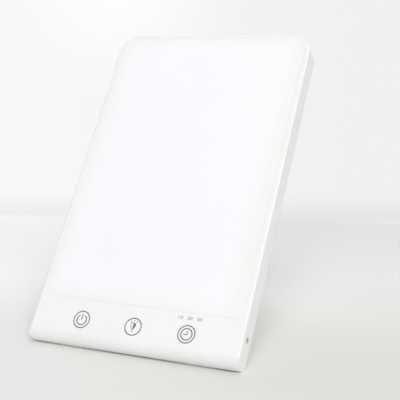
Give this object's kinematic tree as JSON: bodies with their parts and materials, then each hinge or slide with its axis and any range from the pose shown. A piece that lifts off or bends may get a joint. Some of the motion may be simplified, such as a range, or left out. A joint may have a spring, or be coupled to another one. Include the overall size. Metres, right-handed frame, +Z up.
{
  "type": "light therapy lamp",
  "caption": "Tablet light therapy lamp: glowing window in a thin white frame, touch keys below it, power inlet at the side and a fold-out stand behind.",
  "frame": {"origin": "middle of the lamp's box at table height, with the lamp standing on its opened leg", "axes": "+Z up, -Y towards the user in front of the window, +X to the user's right, where the power inlet is"},
  "size_m": [0.15, 0.152, 0.2024],
  "materials": {
    "housing_plastic": "satin moulded white",
    "opal_plastic": "matt opal, lit from behind",
    "adhesive_tape": "thin white tape",
    "film": "matt white",
    "clear_acrylic": "polished clear",
    "led_board": "white solder mask on a metal core",
    "led_phosphor": "yellow phosphor",
    "aluminium": "mill finish",
    "steel": "plated",
    "spring_steel": "bright",
    "circuit_board": "green solder mask",
    "black_resin": "moulded black",
    "ferrite": "grey ferrite",
    "capacitor_sleeve": "dark sleeve",
    "connector_plastic": "natural nylon",
    "wire_sleeve": "red and black wire sleeve",
    "rubber": "matt"
  },
  "bodies": {
    "lamp": {"front_housing": "housing_plastic", "diffuser_plate": "opal_plastic", "diffuser_tape": "adhesive_tape", "diffuser_film": "film", "light_guide_plate": "clear_acrylic", "reflector_sheet": "film", "led_bar_left": "led_board", "led_bar_right": "led_board", "led_chips_left": "led_phosphor", "led_chips_right": "led_phosphor", "heat_spreader_left": "aluminium", "heat_spreader_right": "aluminium", "back_cover": "housing_plastic", "cover_screws": "steel", "control_board": "circuit_board", "board_screws": "steel", "touch_spring_power": "spring_steel", "touch_spring_brightness": "spring_steel", "touch_spring_timer": "spring_steel", "indicator_leds": "led_phosphor", "timer_light_pipe": "clear_acrylic", "controller_chip": "black_resin", "power_inductor": "ferrite", "smoothing_capacitors": "capacitor_sleeve", "led_connectors": "connector_plastic", "led_lead_left": "wire_sleeve", "led_lead_right": "wire_sleeve", "dc_jack": "black_resin", "dc_jack_pin": "spring_steel", "base_pads": "rubber", "hinge_pin": "steel", "hinge_washers": "spring_steel", "hinge_clips": "spring_steel"},
    "stand": {"stand_leg": "housing_plastic", "stand_foot_pad": "rubber"}
  },
  "joints": [
    {"name": "stand_fold", "type": "hinge", "parent": "lamp", "child": "stand", "pos_m": [0, 0.03907, 0.14915], "axis": [-1, 0, 0], "range_deg": [0, 48]}
  ]
}
